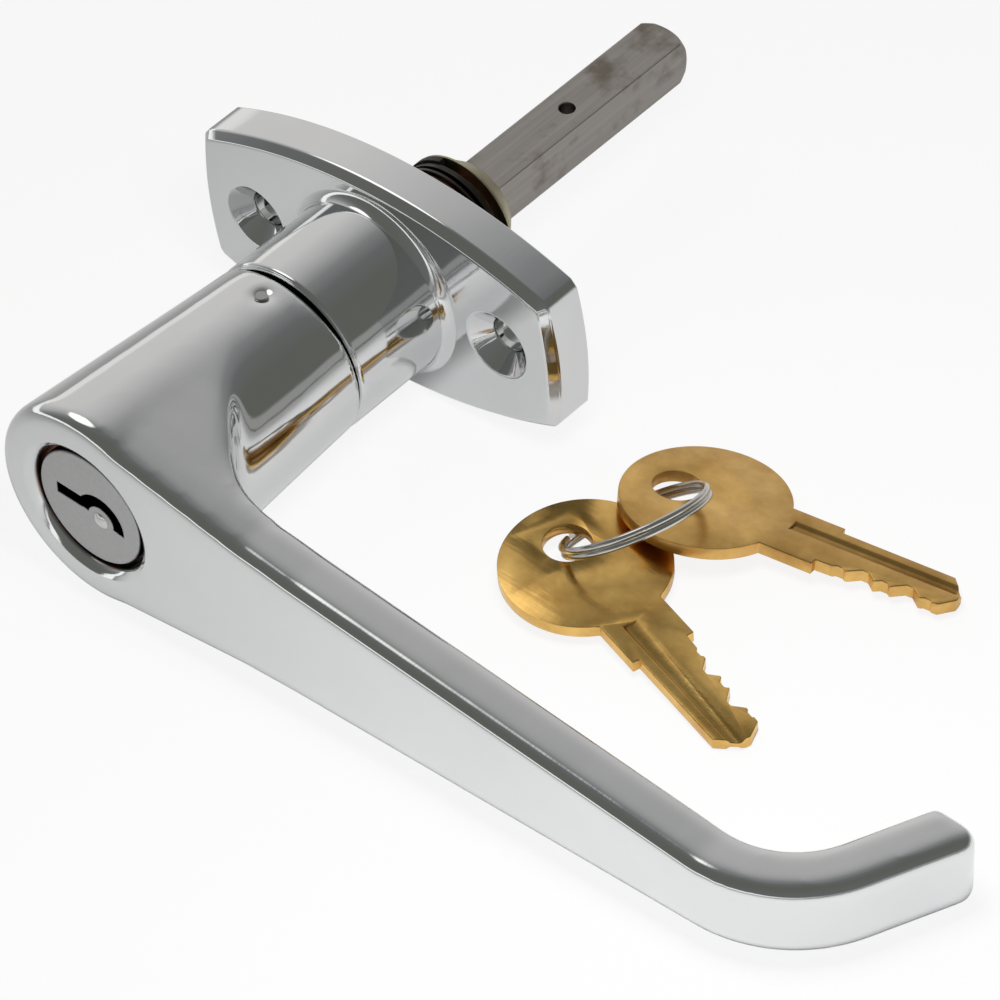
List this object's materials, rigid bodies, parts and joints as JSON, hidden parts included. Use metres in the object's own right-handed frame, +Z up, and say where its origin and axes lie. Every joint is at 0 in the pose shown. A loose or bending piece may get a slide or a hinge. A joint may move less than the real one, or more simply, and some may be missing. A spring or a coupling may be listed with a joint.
{
  "type": "cab door handle",
  "caption": "Chrome lever door handle with a key lock in its head, on a bowed screw-on escutcheon with a square spindle behind it, and brass keys on a split ring.",
  "frame": {"origin": "on the spindle axis, in the plane of the escutcheon's mounting face, midway between its screw holes", "axes": "+X along the lever from the spindle to the tip, +Y along the spindle into the door, +Z up"},
  "size_m": [0.1571, 0.117, 0.0336],
  "materials": {
    "chrome": "bright chrome plate on a zinc casting",
    "lock_steel": "satin nickel lock face",
    "lock_zinc": "bare zinc die casting",
    "wafer_brass": "stamped brass",
    "spindle_steel": "drawn steel with light stains",
    "pin_steel": "ground steel",
    "clip_steel": "blackened spring steel",
    "collar_zinc": "yellow passivated",
    "bush_bronze": "sintered bronze",
    "seal_rubber": "black rubber",
    "key_brass": "rolled brass, milled edges",
    "ring_steel": "nickel plated spring wire"
  },
  "bodies": {
    "plate": {"escutcheon": "chrome", "neck_bush": "bush_bronze"},
    "lever": {"handle": "chrome", "shank_seal": "seal_rubber", "retaining_pin": "pin_steel", "spindle": "spindle_steel", "spindle_pin": "pin_steel", "spring_washer": "pin_steel", "thrust_washer": "pin_steel", "retaining_clip": "clip_steel", "spindle_collar": "collar_zinc"},
    "plug": {"lock_plug": "lock_zinc", "plug_cap": "lock_steel", "drive_tail": "lock_zinc", "wafer_springs": "pin_steel"},
    "bolt": {"locking_bolt": "pin_steel"},
    "wafer_set": {"wafers": "wafer_brass"},
    "ring": {"split_ring": "ring_steel"},
    "left_key": {"key_left": "key_brass"},
    "right_key": {"key_right": "key_brass"}
  },
  "joints": [
    {"name": "lever_turn", "type": "hinge", "parent": "plate", "child": "lever", "pos_m": [0, 0, 0], "axis": [0, 1, 0], "range_deg": [-4.2, 85.8]},
    {"name": "plug_turn", "type": "hinge", "parent": "lever", "child": "plug", "pos_m": [0, 0, 0], "axis": [0, 1, 0], "range_deg": [0, 90]},
    {"name": "bolt_slide", "type": "slide", "parent": "lever", "child": "bolt", "axis": [-0.0732, 0, -0.9973], "range_m": [0, 0.0022]},
    {"name": "wafer_slide", "type": "slide", "parent": "plug", "child": "wafer_set", "axis": [-0.9973, 0, 0.0732], "range_m": [0, 0.0008]},
    {"name": "ring_lift", "type": "slide", "parent": "plate", "child": "ring", "axis": [0, 0, 1], "range_m": [0, 0.06]},
    {"name": "left_key_swing", "type": "hinge", "parent": "ring", "child": "left_key", "pos_m": [0.0447, -0.0207, -0.0132], "axis": [0, 0, 1], "range_deg": [-6, 2]},
    {"name": "right_key_swing", "type": "hinge", "parent": "ring", "child": "right_key", "pos_m": [0.0499, -0.0048, -0.0122], "axis": [0, 0, 1], "range_deg": [-2, 6]}
  ],
  "couplings": [
    {"joint": "bolt_slide", "follows": "plug_turn", "m_per_rad": 0.0014006}
  ]
}
